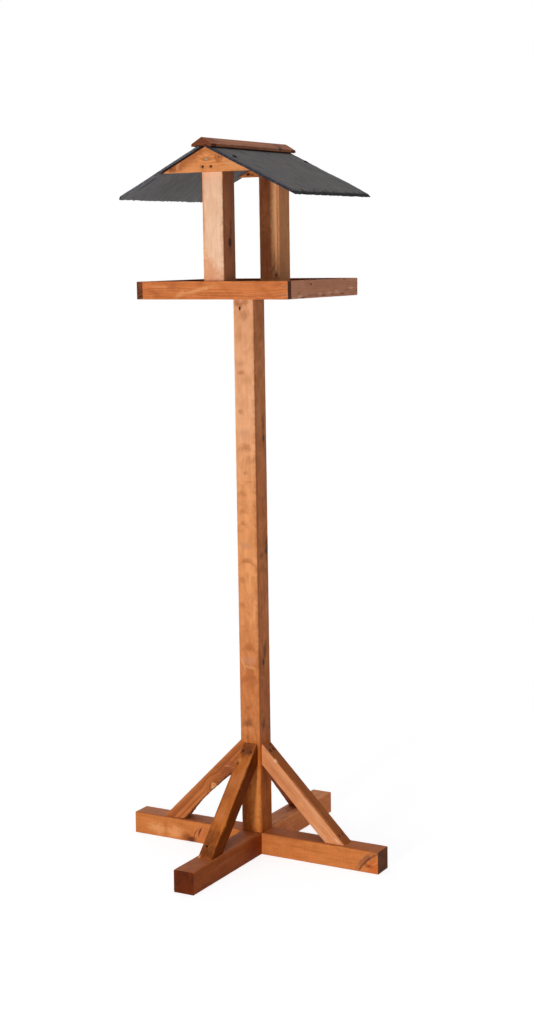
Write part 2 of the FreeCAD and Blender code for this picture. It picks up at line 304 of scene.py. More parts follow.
def grain_fields(g, local, bend, pith, ring, seed):
    """Growth rings about the pith, fine fibres, wider streaks, blotches, and the saw's ribs."""
    u, v, w = local
    wander = g.noise(g.vector(u / 140 + seed, v / 45, w / 45), detail=1) * 18
    ripple = g.noise(g.vector(u / 36, v / 13, w / 13 + seed), detail=2) * 2.6
    ring_v = v - u * GRAIN_LEAN[0] - pith[0] + wander
    ring_w = w - u * GRAIN_LEAN[1] - pith[1] - wander
    radius = g.length(ring_v, ring_w) + ripple + bend
    uneven = g.noise(g.vector(radius / 12, seed, 0.5), detail=0) * 2
    phase = g.math("FRACT", radius / ring + uneven)
    late = g.ramp(phase, 0.25, 0.9) * g.ramp(phase, 1.0, 0.9)
    fibre = g.noise(g.vector(u / 30, v * 0.8, w * 0.8 + seed), detail=4, roughness=0.7)
    streak = g.noise(g.vector(u / 75, v / 3.4, w / 3.4 + seed), detail=2)
    blotch = g.noise(g.vector(u / 30 + seed, v / 18, w / 18), detail=3, distortion=0.8)
    sway = g.noise(g.vector(u / 70, v / 30, w / 30 + seed), detail=1) * 8
    worn = g.noise(g.vector(u / 14, v / 16, w / 16), detail=2) * 1.6 + 0.4
    saw = g.math("SINE", u * SAW_RIBS + sway) * worn
    saw = saw + g.noise(g.vector(u / 1.7, v / 14, w / 14 + seed), detail=2) * 1.6
    return late, fibre, streak, blotch, saw


def toned(g, tones, zones, along, dark, ruddy):
    """The colour before knots and marks: the stain's, and on some faces painted light and shade."""
    tones = list(tones)
    for shade, face, *start_and_end in zones:
        share = 1.0
        if face is not None:
            share = g.ramp(g.facing(face), 0.55, 0.8)
        if start_and_end:
            share = g.ramp(along, *start_and_end) * share
        tones = [g.mix(share, old, new) for old, new in zip(tones, tone(*shade))]
    light, deep, reddish = tones
    colour = g.mix(dark, light, deep)
    return g.mix(ruddy, colour, reddish), deep


def wood(name, stick, shade, zones=(), knots=(), marks=(), cracks_and_gap_shade=(), pith=(14.0, -34.0), ring=4.4,
         figure=0.14, ribs=0.8, mottle=0.8, seed=0.0, gloss=0.12, end=(1.0, 1.0, 1.0)):
    """Sawn and stained softwood. Marks lie under the knots, and fissures and painted shade in gaps lie over
    them.
    """
    g = new_graph(name)
    u, v, w = local = [g.place(axis) - stick.centre.dot(axis) for axis in stick.axes]
    here = g.vector(u, v, w)

    ragged = g.noise(here, detail=1, scale=0.25) * 0.8
    fields = [knot_fields(g, here, ragged, stick, knot) for knot in knots]
    bend = 0.0
    stain = 0.0
    for _, turn, halo, _ in fields:
        bend = turn + bend
        stain = halo + stain

    late, fibre, streak, blotch, saw = grain_fields(g, local, bend, pith, ring, seed)
    dark = late * figure + fibre * 0.45 + streak * 0.45 - blotch * mottle + saw * (0.15 * ribs)
    dark = g.ramp(dark + (0.5 - 0.35 * figure), 0.0, 1.0)
    cloud = g.noise(g.vector(u / 90 + seed, v / 60, w / 60 + 7.0), detail=2)
    ruddy = g.ramp(cloud + streak * 0.3, 0.0, 0.35, 0.6)
    along = u + stick.centre.dot(stick.axes[0])
    tones = tone(*shade)
    colour, deep = toned(g, tones, zones, along, dark, ruddy)

    wander = g.noise(g.vector(u / 11, v / 8, w / 8), detail=4, roughness=0.65) * 2.0
    for mark in marks:
        colour = g.mix(mark_field(g, here, stick, mark, wander), colour, mark.colour)
    if fields:
        shadow = g.mix(0.45, deep, KNOT_SHADOW)
        colour = g.mix(g.ramp(stain, 0.0, 1.4, 0.7), colour, shadow)
    cores = 0.0
    for core, _, _, knot_colour in fields:
        colour = g.mix(core, colour, knot_colour)
        cores = core + cores
    for crack_or_gap_shade in cracks_and_gap_shade:
        colour = g.mix(mark_field(g, here, stick, crack_or_gap_shade, wander * 0.3), colour, crack_or_gap_shade.colour)

    sawn_end = g.ramp(abs(g.facing(stick.axes[0])), 0.75, 0.9)
    pores = g.noise(g.vector(u / 6, v * 0.8, w * 0.8), detail=4, roughness=0.75)
    end_dark = g.ramp(late * 0.5 + pores * 0.9 - blotch * 1.8 + 0.15, 0.0, 1.0)
    base = scaled(tones.dark, *end)
    end_colour = g.mix(end_dark, scaled(base, 0.66, 0.50, 0.34), scaled(base, 0.20, 0.14, 0.08))
    colour = g.mix(sawn_end, colour, end_colour)

    height = fibre * 0.4 + saw * (0.09 * ribs) - late * 0.06 - cores * 0.25 + sawn_end * pores
    rough = fibre * 0.25 - late * 0.06 + 0.66
    return g.surface(colour, rough, height, WOOD_BUMP, gloss)


def paint(material, *names):
    """Give these CAD nodes a material."""
    for name in names:
        data = nodes[name].data
        data.materials.clear()
        data.materials.append(material)


# Slate and metal

ROOF_PITCH = math.radians(26)
NAIL_DOWN_SLOPE = 59.0
NAIL_HEAD_RADIUS = 4.0
SCREW_HEAD_RADIUS = 3.75
# The middles of the front brace's screws, by their distance to its middle line and their height
FOOT_SCREW = (5.5, 63.4)
HEAD_SCREW = (8.5, 214.2)


def slate_material(side):
    """Riven grey slate: fine cleft lines down the slope, darker where its edges are broken, with a painted
    shadow beside the front gable and painted light on its underside.
    """
    g = new_graph("slate_" + side.name)
    down = g.place(side.down) + side.apex * math.sin(ROOF_PITCH)
    along = g.place(Y)
    up = g.place(side.out)
    skew = down * 0.8 + along * 0.35
    cross = down * -0.35 + along * 0.8
    under = g.ramp(g.facing(side.out), 0.3, -0.3)

    def top_or_lit_underside(above, below):
        """One shade for the slate's top and a lighter one for its underside, painted light from the floor's
        bounce and a grazing sheen.
        """
        return g.mix(under, rgb(*above), rgb(*below))
    grain = g.noise(g.vector(skew / 30, cross / 4.0, up / 3), detail=4, roughness=0.7)
    dust = g.noise(g.vector(skew / 5, cross / 2.2, up / 3), detail=4, roughness=0.7)
    cloud = g.noise(g.vector(down / 60, along / 80, up / 20), detail=3, distortion=0.7)
    low_tint = top_or_lit_underside((63, 62, 65), (104, 105, 108))
    tint = g.mix(g.ramp(cloud, -0.25, 0.25), low_tint, top_or_lit_underside((76, 73, 71), (118, 118, 119)))
    colour = g.mix(g.ramp(grain + dust * 0.5, -0.35, 0.35), top_or_lit_underside((92, 89, 88), (136, 136, 137)), tint)
    fleck = g.ramp(dust + grain * 0.8, 0.04, 0.3, 0.85) * (1.0 - under * 0.6)
    colour = g.mix(fleck, colour, rgb(42, 41, 44))
    if side.cleft:
        line, lean, start, end = side.cleft
        wiggle = g.noise(g.vector(down / 14, 0.0, 0.0), detail=2) * 5.0
        away = abs(along - line - (down - start) * lean + wiggle)
        step = g.ramp(away, 3.0, 1.2, 0.9) * g.ramp(down, start, start + 9)
        colour = g.mix(step * g.ramp(down, end, end - 9) * under, colour, rgb(34, 33, 36))
    # Painted shadow beside the front gable; darker along the front edge, jagged at the eave, a ring round
    # the nails
    gable_shadow = g.ramp(along, side.front + 24.0, side.front + 19.0) * under
    colour = g.mix(gable_shadow * g.ramp(down, 116.0, 104.0), colour, rgb(34, 29, 31))
    over = 1.0 - under
    chips = g.noise(g.vector(down / 3, along / 5, up / 2), detail=3)
    margin = g.ramp(along + chips * 8.0, side.front + 10.0, side.front + 5.5, 0.85)
    colour = g.mix(margin * over, colour, rgb(46, 46, 53))
    notch = g.noise(g.vector((along + down) / 7, (down - along) / 70, up / 20), detail=1) * 90.0
    broken = g.ramp(down + notch, side.eave - 7.0, side.eave - 3.0, 0.95)
    colour = g.mix(broken * over, colour, rgb(36, 35, 38))
    ring = g.length(down - NAIL_DOWN_SLOPE, abs(along) - side.nail_y)
    colour = g.mix(g.ramp(ring, 6.4, 5.4) * over, colour, rgb(26, 26, 28))
    flat = g.ramp(abs(g.facing(side.out)), 0.93, 0.985)
    edge_colour = g.mix(g.ramp(chips, -0.2, 0.25), *(rgb(*shade) for shade in side.edge))
    edge_colour = g.mix(g.ramp(down, side.eave - 12.0, side.eave - 5.0), edge_colour, rgb(40, 40, 42))
    colour = g.mix(flat, edge_colour, colour)
    height = grain * 0.8 + dust * 0.4
    return g.surface(colour, grain * 0.2 + 0.78, height, bump=0.8, gloss=0.1)


def metal(name, colour, roughness, metallic=0.0, stained=None, gloss=0.2):
    """Dulled metal or paint with a fine grit. A stain covers what lies behind the tray's front."""
    g = new_graph(name)
    grit = g.noise(g.vector(g.place(X), g.place(Y), g.place(Z)), detail=3, roughness=0.7)
    colour = rgb(*colour)
    colour = g.mix(g.ramp(grit, -0.25, 0.25), colour, scaled(colour, 0.5, 0.5, 0.55))
    if stained:
        colour = g.mix(g.ramp(g.place(Y), -140.0, -120.0), colour, rgb(*stained))
    return g.surface(colour, grit * 0.4 + roughness, grit, 0.2, gloss, metallic)


def stained_screws(g, colour):
    """The plain surface of screws that are stained over with their timber."""
    return g.surface(colour, roughness=0.7, height=0.0, bump=0.0, gloss=0.1)


def gable_screw_material():
    """Screws stained over with the gable, and dark round the middle of their heads."""
    g = new_graph("stained_gable_screw")
    low, high = (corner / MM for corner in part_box("gable_screws"))
    spread = (high.x - low.x) / 2 - SCREW_HEAD_RADIUS
    reach = g.length(abs(g.place(X)) - spread, g.place(Z) - (low.z + high.z) / 2)
    return stained_screws(g, g.mix(g.ramp(reach, 1.9, 2.9), rgb(72, 46, 36), rgb(214, 134, 78)))


def front_screw_material():
    """Screws stained over with the front brace, dark in the middle but for the lower right one."""
    g = new_graph("stained_front_screw")
    across = g.place(X)
    rise = (g.place(Z) - FOOT_SCREW[1]) * math.sqrt(2)
    foot = g.length(across + FOOT_SCREW[0], rise)
    colour = g.mix(g.ramp(foot, 1.8, 3.0), rgb(34, 17, 8), rgb(150, 84, 42))
    rise = (g.place(Z) - HEAD_SCREW[1]) * math.sqrt(2)
    head = g.length(abs(across) - HEAD_SCREW[0], rise)
    colour = g.mix(g.ramp(g.place(Z), 180.0, 190.0), colour, rgb(130, 72, 36))
    return stained_screws(g, g.mix(g.ramp(head, 2.8, 1.4), colour, rgb(70, 36, 20)))


# Meshes

def put(name, data):
    """A new object in the scene."""
    item = bpy.data.objects.new(name, data)
    bpy.context.scene.collection.objects.link(item)
    return item


def add_piece(name, bm, material, slot, *replaced):
    """Put a finished mesh in the scene as a piece that stands for CAD nodes."""
    mesh = bpy.data.meshes.new(name)
    bm.normal_update()
    bm.to_mesh(mesh)
    bm.free()
    piece = put(name, mesh)
    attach(piece, "root")
    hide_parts(*replaced)
    mesh.materials.append(material)


def scallops(maker, start, end, spacing, depth):
    """Chips along an edge, as (middle, half width, depth)."""
    found = []
    place = start
    while place < end:
        half = spacing * maker.uniform(0.5, 1.1)
        found.append((place, half, depth * maker.uniform(0.15, 1.0) ** 1.5))
        place += half * maker.uniform(0.7, 1.3)
    return found


def bitten(chips, place):
    """How far the edge is chipped away at a place."""
    bite = 0.0
    for middle, half, depth in chips:
        share = (place - middle) / half
        if abs(share) < 1:
            bite = max(bite, depth * (1 - share * share))
    return bite


def between(points, place):
    """The depth at a place on an edge whose wear is given at a few places."""
    for (start, first), (end, last) in zip(points, points[1:]):
        if start <= place <= end:
            return first + (last - first) * (place - start) / (end - start)
    return points[0][1] if place < points[0][0] else points[-1][1]


def graded(start, end, fine, coarse, margin):
    """Places from start to end, close together near both ends."""
    steps = round(margin / fine)
    places = [start + i * fine for i in range(steps)]
    count = math.ceil((end - start - 2 * margin) / coarse)
    places += [start + margin + (end - start - 2 * margin) * i / count for i in range(count)]
    return places + [end - margin + i * fine for i in range(steps)] + [end]


class RoofSide:
    """One slope of the roof: its directions and levels, and how its slate's edges are worn."""

    def __init__(self, name, sign, front_wear, rear_wear, edge, cleft=None):
        self.name = name
        self.front_wear = front_wear
        self.rear_wear = rear_wear
        self.edge = edge
        self.cleft = cleft
        self.down = Vector((sign * math.cos(ROOF_PITCH), 0, -math.sin(ROOF_PITCH)))
        self.out = Vector((sign * math.sin(ROOF_PITCH), 0, math.cos(ROOF_PITCH)))
        low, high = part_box("slate_" + name)
        self.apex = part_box("gable_front")[1].z / MM
        self.top = min(abs(low.x), abs(high.x)) / MM / math.cos(ROOF_PITCH)
        self.eave = (self.apex - low.z / MM) / math.sin(ROOF_PITCH)
        rise = high.z / MM - self.apex + self.top * math.sin(ROOF_PITCH)
        self.thickness = rise / math.cos(ROOF_PITCH)
        self.front = low.y / MM
        self.rear = high.y / MM
        self.nail_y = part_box("slate_nails")[1].y / MM - NAIL_HEAD_RADIUS

    def point(self, along, y, above):
        """A point on this slope, in metres."""
        return (Z * self.apex + self.down * along + self.out * above + Y * y) * MM


def slate_mesh(side, maker):
    """A riven slate with dressed, chipped edges all round except at the ridge."""
    eave_chips = scallops(maker, side.front, side.rear, spacing=5.0, depth=3.2)
    eave_bevel = scallops(maker, side.front, side.rear, spacing=6.5, depth=7.0)
    front_chips = scallops(maker, side.top, side.eave, spacing=7.0, depth=1.2)
    rear_chips = scallops(maker, side.top, side.eave, spacing=9.0, depth=1.8)
    shift = maker.uniform(0, 100)

    def riven(along, y, layer):
        """The height that cleaving took off one face: shallow steps and ripples along the slate."""
        ripple = noise.noise(Vector((along / 34 + shift, y / 9, layer)))
        fine = noise.noise(Vector((along / 9, y / 3.5 + shift, layer)))
        plate = noise.noise(Vector((along / 55, y / 38 + shift, layer + 5)))
        step = 1 / (1 + math.exp(-plate * 60))
        to_nail = math.hypot(along - NAIL_DOWN_SLOPE, abs(y) - side.nail_y)
        under_nail = max(0.0, 1 - to_nail / 9) ** 0.5
        return (0.26 + 0.18 * ripple + 0.1 * fine + 0.28 * step) * (1 - min(1.0, 1.6 * under_nail))

    def height_left(along, y, eave_gap, front_gap, rear_gap):
        """The slate's thickness here, after the dressing of its edges."""
        full = side.thickness - riven(along, y, 0.0)
        bevel = 4.0 + bitten(eave_bevel, y)
        full = min(full, 1.2 + 3.8 * min(eave_gap / bevel, 1) ** 0.8)
        for gap, width, edge, layer in ((front_gap, 1.3, 4.3, 3.0), (rear_gap, 3.0, 2.6, 9.0)):
            width += 1.2 * noise.noise(Vector((along / 5, layer, shift)))
            full = min(full, edge + (side.thickness - edge) * min(gap / max(width, 0.6), 1))
        return full

    rows = graded(side.top, side.eave, fine=0.9, coarse=3.4, margin=10.8)
    columns = graded(side.front, side.rear, fine=0.9, coarse=2.2, margin=4.5)
    bm = bmesh.new()
    top = []
    bottom = []
    for along in rows:
        upper = []
        lower = []
        front = side.front + between(side.front_wear, along) + bitten(front_chips, along)
        rear = side.rear - between(side.rear_wear, along) - bitten(rear_chips, along)
        for y in columns:
            share = (along - side.top) / (side.eave - side.top)
            place = along - bitten(eave_chips, y) * max(0, share * 20 - 19)
            across = front + (rear - front) * (y - side.front) / (side.rear - side.front)
            left = height_left(along, across, side.eave - along, across - front, rear - across)
            under = min(max(riven(along, across, 20.0) - 0.2, 0.0), left - 0.5)
            upper.append(bm.verts.new(side.point(place, across, left)))
            lower.append(bm.verts.new(side.point(place, across, under)))
        top.append(upper)
        bottom.append(lower)
    last_row = len(rows) - 1
    last_column = len(columns) - 1
    for i in range(last_row):
        for j in range(last_column):
            bm.faces.new((top[i][j], top[i + 1][j], top[i + 1][j + 1], top[i][j + 1]))
            bm.faces.new((bottom[i][j], bottom[i][j + 1], bottom[i + 1][j + 1], bottom[i + 1][j]))
        for j in (0, last_column):
            bm.faces.new((top[i][j], bottom[i][j], bottom[i + 1][j], top[i + 1][j]))
    for j in range(last_column):
        for i in (0, last_row):
            bm.faces.new((top[i][j], top[i][j + 1], bottom[i][j + 1], bottom[i][j]))
    bmesh.ops.recalc_face_normals(bm, faces=bm.faces[:])
    return bm


# Worn timber: a copy of a CAD timber whose long edges are rubbed and chipped, always inwards

SHARP = math.radians(35)
WELD = 0.002 * MM
ON_CUT = 0.0005 * MM


def sliced(node, stick, step, levels=()):
    """A CAD node's mesh, welded and cut across its grain every few millimetres."""
    bm = bmesh.new()
    bm.from_mesh(nodes[node].data)
    bmesh.ops.remove_doubles(bm, verts=bm.verts[:], dist=WELD)
    (start, end), _, _ = spans(bm, stick)
    count = max(2, round((end - start) / step))
    cuts = [(0, start + (end - start) * i / count) for i in range(1, count)]
    cuts += [(1, level) for level in levels]
    for axis, place in cuts:
        normal = stick.axes[axis]
        point = (stick.centre + normal * place) * MM
        geometry = bm.verts[:] + bm.edges[:] + bm.faces[:]
        bmesh.ops.bisect_plane(bm, geom=geometry, plane_co=point, plane_no=normal, dist=ON_CUT)
    return bm


def spans(bm, stick):
    """The lowest and highest local coordinates of a mesh, for each axis of its timber."""
    found = []
    for axis in stick.axes:
        places = [(vert.co / MM - stick.centre).dot(axis) for vert in bm.verts]
        found.append((min(places), max(places)))
    return found


def rub_edges(bm, stick, wear, soft, chips, seed, ends=True):
    """Push the surface in beside the long edges, and where they are chipped."""
    limits = spans(bm, stick)
    for vert in bm.verts:
        offset = vert.co / MM - stick.centre
        local = [offset.dot(axis) for axis in stick.axes]
        gaps = [min(place - low, high - place) for place, (low, high) in zip(local, limits)]
        near = sorted(gaps if ends else gaps[1:])[1]
        if near > soft:
            continue
        level = noise.noise(Vector((local[0] / 16, local[1] / 20 + seed, local[2] / 20))) + 0.5
        fine = noise.noise(Vector((local[0] / 5, local[1] / 20, local[2] / 20 + seed))) + 0.5
        depth = wear * (0.25 + 0.55 * level + 0.2 * fine)
        for place, half, bite in chips:
            away = place - vert.co / MM
            along = away.dot(stick.axes[0])
            if (away - stick.axes[0] * along).length < 2.2 * soft and abs(along) < half:
                depth = max(depth, bite * (1 - (along / half) ** 2))
        depth *= (1 - near / soft) ** 2
        for axis, place, gap in zip(stick.axes, local, gaps):
            if gap < soft:
                vert.co -= axis * math.copysign(depth * (1 - gap / soft), place) * MM


def wane(bm, stick, chips, depths):
    """Slope a brace's underside up to its rear, as where bark was, and nick its front edge."""
    _, (low, high), (rear, front) = spans(bm, stick)
    middle = (low + high) / 2
    for vert in bm.verts:
        offset = vert.co / MM - stick.centre
        along, up, across = (offset.dot(axis) for axis in stick.axes)
        if up < middle:
            share = (middle - up) / (middle - low)
            behind = (front - across) / (front - rear)
            rough = 0.4 * noise.noise(Vector((along / 3, across / 5, 1.0))) + 0.3
            slope = between(depths, along) * (0.3 + 0.7 * behind)
            nick = bitten(chips, along + 0.25 * across) + rough
            vert.co += stick.axes[1] * (slope * share + max(nick, 0.0) * share ** 3) * MM


def shade_smooth(bm):
    """Smooth faces, with sharp edges where the surface turns."""
    for face in bm.faces:
        face.smooth = True
    for edge in bm.edges:
        edge.smooth = len(edge.link_faces) == 2 and edge.calc_face_angle(0.0) < SHARP


def worn_timber(node, stick, material, wear, slot="timber", soft=5.0, chips=(), step=5.0, ends=True):
    """Replace a CAD timber with its worn copy."""
    bm = sliced(node, stick, step)
    rub_edges(bm, stick, wear, soft, chips, float(len(node)), ends)
    shade_smooth(bm)
    add_piece("worn_" + node, bm, material, slot, node)


# Stage

WHITE = (1, 1, 1, 1)
WORLD_LEVEL = 0.27
FLOOR_REACH = 9.0
FLOOR_GLOW = 0.78
# Where the floor fades to white, in millimetres from the post
FLOOR_FADE = (700.0, 1600.0)


def seen_directly(g):
    """1 for rays from the camera, a reflection or a clear material, and 0 for scattered light."""
    rays = g.add("ShaderNodeLightPath", {})
    camera, glossy, clear = (
        Field(g, rays.outputs[f"Is {kind} Ray"]) for kind in ("Camera", "Glossy", "Transmission")
    )
    return g.math("MAXIMUM", camera, g.math("MAXIMUM", glossy, clear))


def white_world(level):
    """Even light at the given level, and white where the camera or a reflection sees past the object."""
    world = bpy.data.worlds.new("studio")
    bpy.context.scene.world = world
    g = Graph(world)
    strength = seen_directly(g) * (1.0 - level) + level
    background = g.out("ShaderNodeBackground", {"Color": WHITE, "Strength": strength})
    g.add("ShaderNodeOutputWorld", {"Surface": background})


def area_light(name, position, target, width, height, power):
    """A soft lamp at a place in metres, aimed at another."""
    lamp = bpy.data.lights.new(name, "AREA")
    lamp.shape = "RECTANGLE"
    lamp.size = width
    lamp.size_y = height
    lamp.energy = power
    holder = put(name, lamp)
    holder.location = position
    away = Vector(position) - Vector(target)
    holder.rotation_euler = away.to_track_quat("Z", "Y").to_euler()


def floor_material():
    """A pale floor that bounces light, and shows the camera white with a soft shadow."""
    g = new_graph("floor")
    bounce = g.out("ShaderNodeBsdfDiffuse", {"Color": (0.8, 0.8, 0.8, 1)})
    shown = g.out("ShaderNodeBsdfDiffuse", {"Color": (0.38, 0.38, 0.39, 1)})
    glow = g.out("ShaderNodeEmission", {"Color": WHITE, "Strength": FLOOR_GLOW})
    white = g.out("ShaderNodeEmission", {"Color": WHITE, "Strength": 1.0})
    away = g.length(g.place(X), g.place(Y))
    lifted = g.out("ShaderNodeAddShader", {0: shown, 1: glow})
    faded = g.out("ShaderNodeMixShader", {0: g.ramp(away, *FLOOR_FADE), 1: lifted, 2: white})
    both = g.out("ShaderNodeMixShader", {0: seen_directly(g), 1: bounce, 2: faded})
    g.add("ShaderNodeOutputMaterial", {"Surface": both})
    return g.owner


def make_floor():
    """The floor, a large plate under the table."""
    mesh = bpy.data.meshes.new("floor")
    corners = [(x * FLOOR_REACH, y * FLOOR_REACH, 0) for x, y in ((-1, -1), (1, -1), (1, 1), (-1, 1))]
    mesh.from_pydata(corners, [], [(0, 1, 2, 3)])
    mesh.materials.append(floor_material())
    floor = put("floor", mesh)


def make_camera():
    """The photograph's view."""
    data = bpy.data.cameras.new("camera")
    data.sensor_width = SENSOR
    data.lens = FOCAL_PIXELS * SENSOR / IMAGE_HEIGHT
    data.clip_end = 100
    camera = put("camera", data)
    level = math.cos(CAMERA_ELEVATION)
    back = Vector((
        math.sin(CAMERA_AZIMUTH) * level,
        -math.cos(CAMERA_AZIMUTH) * level,
        math.sin(CAMERA_ELEVATION),
    ))
    camera.location = CAMERA_TARGET + back * CAMERA_DISTANCE
    upright = back.to_track_quat("Z", "Y").to_matrix()
    camera.rotation_euler = (upright @ Matrix.Rotation(-CAMERA_ROLL, 3, "Z")).to_euler()
    bpy.context.scene.camera = camera


def lamps():
    """A low narrow lamp in front, a wide one overhead, and a fill for the far side."""
    area_light("key", (0.30, -3.6, 0.62), (0, 0, 0.62), 0.3, 1.1, power=60)
    area_light("overhead", (0.25, -0.15, 3.4), (0, 0, 0.8), 2.4, 2.4, power=38)
    area_light("back_fill", (-2.7, 2.2, 0.9), (0, 0, 0.7), 1.4, 1.8, power=26)


bpy.context.scene.view_settings.view_transform = "Standard"
make_camera()
make_floor()
white_world(WORLD_LEVEL)
lamps()


# The look of each timber

# How far scattered knots stay from a timber's ends and from its sides
END_INSET = 40
SIDE_INSET = 12
BRACE_WEAR = {"wear": 0.9, "soft": 7.0, "ends": False, "step": 4.0}
# How far the ridge cap's slope drops for each millimetre out
CAP_SLOPE = 0.6


def knots_on(at, *rows):
    """Knots on a face: two coordinates, radius, stretch, and the colours of the core and the rim."""
    return [Knot(at(a, b), radius, stretch, *(rgb(*colour) for colour in colours))
            for a, b, radius, stretch, *colours in rows]


def marks_on(at, *rows):
    """Marks on a face: two coordinates, length, width, colour, strength, turn, bow and edge."""
    return [Mark(at(a, b), length, width, rgb(*colour), *rest)
            for a, b, length, width, colour, *rest in rows]


def scattered(node, normal, count, maker):
    """A few knots at seeded places on a face that the photograph doesn't show."""
    at = flat_face(node, normal)
    low, high = (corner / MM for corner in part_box(node))
    lengthwise = max(range(3), key=lambda i: high[i] - low[i])
    found = []
    for _ in range(count):
        place = []
        for axis in (i for i in range(3) if not normal[i]):
            inset = END_INSET if axis == lengthwise else SIDE_INSET
            place.append(maker.uniform(low[axis] + inset, high[axis] - inset))
        found.append(Knot(at(*place), maker.uniform(2.4, 6.0), maker.uniform(1.0, 1.6)))
    return found


def dress(node, stick, *look, worn=None, **grain):
    """Give a timber its own wood, and a worn copy of its mesh where its wear is given."""
    material = wood(node, stick, *look, **grain)
    if worn:
        worn_timber(node, stick, material, **worn)
    else:
        paint(material, node)


def post_look():
    """The post is paler and pinker towards the tray, in front partly from a painted sheen, with scalloped
    marks, five knots, and painted light and shadow at its foot beside the front brace.
    """
    node = "post"
    front = flat_face(node, FRONT)
    right = flat_face(node, RIGHT)
    maker = random.Random(5)
    knots = knots_on(
        front, (-7.5, 1093.5, 2.2, 1.5, (66, 40, 30)),
        (-6.3, 241.0, 1.9, 1.0, (196, 130, 88), (120, 60, 30)),
    ) + knots_on(
        right, (9.5, 839.0, 3.4, 2.0, (104, 88, 84)), (14.5, 616.0, 5.0, 1.6, (120, 90, 80), (52, 36, 32)),
        (-3.8, 393.0, 3.8, 1.6, (92, 74, 68)),
    ) + scattered(node, REAR, 4, maker) + scattered(node, LEFT, 4, maker)
    dark = (190, 110, 64)
    deep = (172, 92, 48)
    pinkish = (206, 142, 112)
    marks = marks_on(
        front, (-14, 1104, 9, 8, deep, 0.6), (3, 1106, 7, 10, dark, 0.6), (-6, 1099, 7, 6, deep, 0.55),
        (0, 1080, 10, 14, dark, 0.55, 0, -0.3, 0.8), (-10, 1040, 16, 9, dark, 0.3),
        (-7, 969, 6, 9, dark, 0.6, 0, 0.3, 1.4), (6, 955, 12, 12, dark, 0.25), (-10, 893, 6, 7, dark, 0.5),
        (0, 822, 10, 17, dark, 0.6, 0, 0.2, 1.3), (8, 800, 12, 13, dark, 0.35), (-1, 773, 4, 5, dark, 0.45),
        (4, 756, 1.6, 19, dark, 0.5), (-9, 732, 8, 11, dark, 0.5, 0, 0.3, 1.4),
        (-9, 696, 6, 9, dark, 0.55, 0, 0.2, 1.2), (-8, 672, 6, 9, dark, 0.6, 0, 0.5, 1.6),
        (-1, 597, 8, 18, deep, 0.6, 0, 0.4, 2.2), (-12, 560, 7, 8, dark, 0.5),
        (-13, 509, 7, 7, dark, 0.6, 0, 0.2), (-11, 466, 5, 5, dark, 0.45),
        (3, 424, 12, 17, deep, 0.6, 0, 0.2, 1.3), (2, 356, 24, 17, deep, 0.5), (-4, 300, 5, 7, deep, 0.4),
        (-2, 268, 13, 14, (134, 74, 46), 0.75, 0, 0.3, 1.8), (-9, 986, 7, 9, pinkish, 0.45),
        (0, 850, 12, 14, pinkish, 0.5), (-4, 628, 9, 13, pinkish, 0.45), (0, 398, 11, 17, pinkish, 0.5),
        # Painted light on the right of the foot, and a painted shadow of the front brace on its left
        (11, 114, 106, 15, (232, 146, 74), 0.8), (-17, 110, 90, 9, (128, 62, 20), 0.7),
        (-14, 392, 17, 2.0, (240, 176, 120), 0.6, -24), (2, 384, 3, 16, (240, 176, 120), 0.4, 8),
    ) + marks_on(
        right, (9, 866, 22, 5, (120, 66, 38), 0.7), (16, 631, 11, 7, (112, 60, 34), 0.75),
        (-5, 607, 10, 7, (124, 76, 38), 0.65), (2.5, 414, 20, 8, (112, 62, 34), 0.7),
        (-7.6, 266, 14, 8, (112, 60, 30), 0.8), (-19.5, 640, 520, 4.5, (158, 92, 52), 0.55),
    )
    zones = (
        ((233, 155, 98, 0.7), FRONT), ((209, 127, 72, 0.9), FRONT, 560, 360),
        # The front's paler part near the tray is partly the wood and partly a painted sheen
        ((250, 177, 129, 0.6), FRONT, 680, 900), ((182, 105, 58), RIGHT, 500, 300),
        ((222, 143, 93), RIGHT, 700, 1000), ((184, 97, 28), None, 250, 215),
    )
    dress(node, square_stick(node, Z), (203, 123, 74), zones, knots, marks, pith=(60.0, 90.0),
          figure=0.1, mottle=1.5, seed=3.0, worn={"wear": 0.5})


def lower_beam_look():
    """The left to right beam: ribs, a cracked knot on the left and a spike knot on the right."""
    node = "base_beam_lower"
    front = flat_face(node, FRONT)
    knots = knots_on(front, (262, 14.5, 3.0, 1.2, (196, 92, 46), (150, 70, 36)))
    knots += scattered(node, REAR, 3, random.Random(6))
    marks = marks_on(
        front, (-228, 17, 24, 14, (244, 170, 108), 0.75), (-184, 16, 22, 15, (244, 168, 106), 0.8),
        (-206, 25, 6, 26, (190, 108, 52), 0.35), (-154, 9, 15, 12, (150, 78, 38), 0.7),
        (-144, 3, 13, 9, (106, 50, 24), 0.95), (-122, 24, 13, 28, (220, 126, 70), 0.75),
        (-134, 22, 1.8, 15, (142, 72, 36), 0.9, -30, -0.2), (60, 43, 60, 6, (176, 96, 46), 0.5),
        (160, 6, 40, 9, (232, 148, 80), 0.35), (275, 12, 17, 22, (216, 104, 44), 0.75, -45, -0.1),
        (253, 26, 8, 34, (156, 92, 60), 0.8, -45, -0.13),
        (256, 23, 2.4, 32, (108, 58, 40), 0.9, -45, -0.13),
        (248, 31, 1.4, 26, (232, 150, 90), 0.5, -45, -0.13),
        (270, 18, 1.2, 20, (238, 156, 104), 0.6, -55, -0.1),
    )
    cracks_and_gap_shade = marks_on(
        front, (-124, 25, 2.2, 13.5, (58, 42, 46), 1.0, -23, -0.15),
        (-113, 22, 1.4, 12, (190, 106, 60), 0.5, -23, 0.15),
    )
    zones = ((213, 127, 65), FRONT), ((176, 103, 59), TOP), ((168, 94, 47), TOP, -20, 20)
    dress(node, square_stick(node, X), (190, 106, 54), zones, knots, marks, cracks_and_gap_shade, pith=(30.0, -46.0),
          figure=0.1, ribs=1.5, seed=11.0, end=(0.62, 0.78, 0.4), worn={"wear": 0.6})


